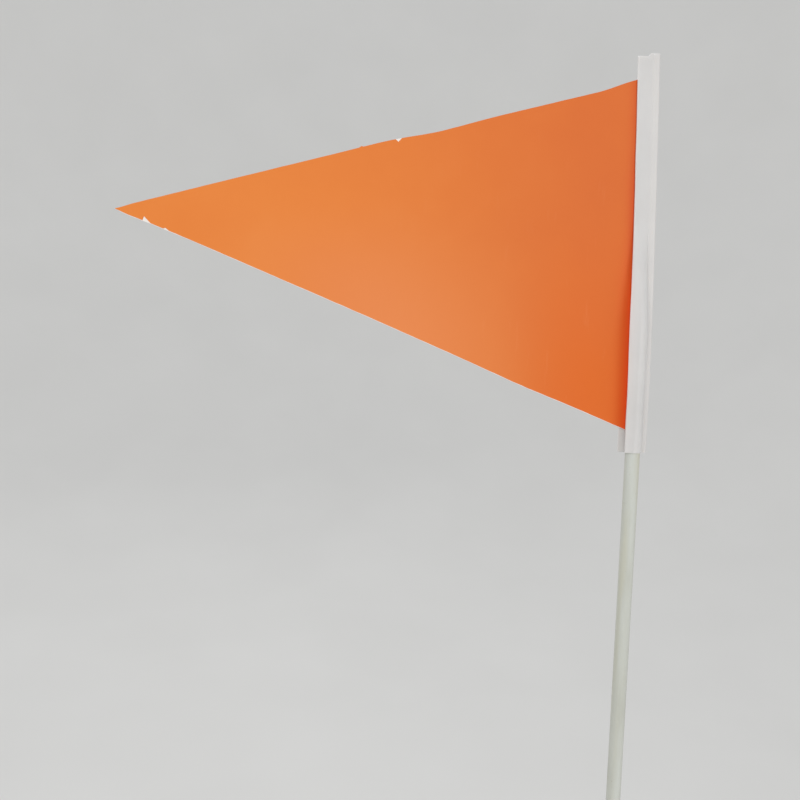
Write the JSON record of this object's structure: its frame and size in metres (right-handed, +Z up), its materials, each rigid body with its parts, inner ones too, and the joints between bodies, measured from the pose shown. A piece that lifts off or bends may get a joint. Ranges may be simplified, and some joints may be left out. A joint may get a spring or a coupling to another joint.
{
  "type": "driveway snow marker",
  "caption": "Driveway marker: a slim fibreglass rod for the ground, with an orange pennant in a white plastic holder that turns on the rod's upper end.",
  "frame": {"origin": "on the rod's axis at the ground line, the upper end of the stretch that stands in the ground", "axes": "+Z up along the rod towards the pennant, -X from the rod to the pennant's tip, -Y out of the pennant's front face"},
  "size_m": [0.2314, 0.0082, 1.0364],
  "materials": {
    "fibreglass": "pale grey-green pultruded fibreglass, satin, with fine lengthwise fibres",
    "holder_plastic": "white, slightly translucent soft PVC, satin",
    "adhesive_tape": "thin double-sided tape",
    "vinyl_core": "white vinyl sheet, matt at its cut edges",
    "orange_film": "safety-orange vinyl film, satin, with a fine grain"
  },
  "bodies": {
    "rod": {"rod": "fibreglass"},
    "flag": {"flag_holder": "holder_plastic", "hem_tape": "adhesive_tape", "flag_core": "vinyl_core", "flag_film_front": "orange_film", "flag_film_rear": "orange_film"}
  },
  "joints": [
    {"name": "flag_swivel", "type": "hinge", "parent": "rod", "child": "flag", "pos_m": [0, 0, 0.6894], "axis": [0, 0, -1], "continuous": true}
  ]
}
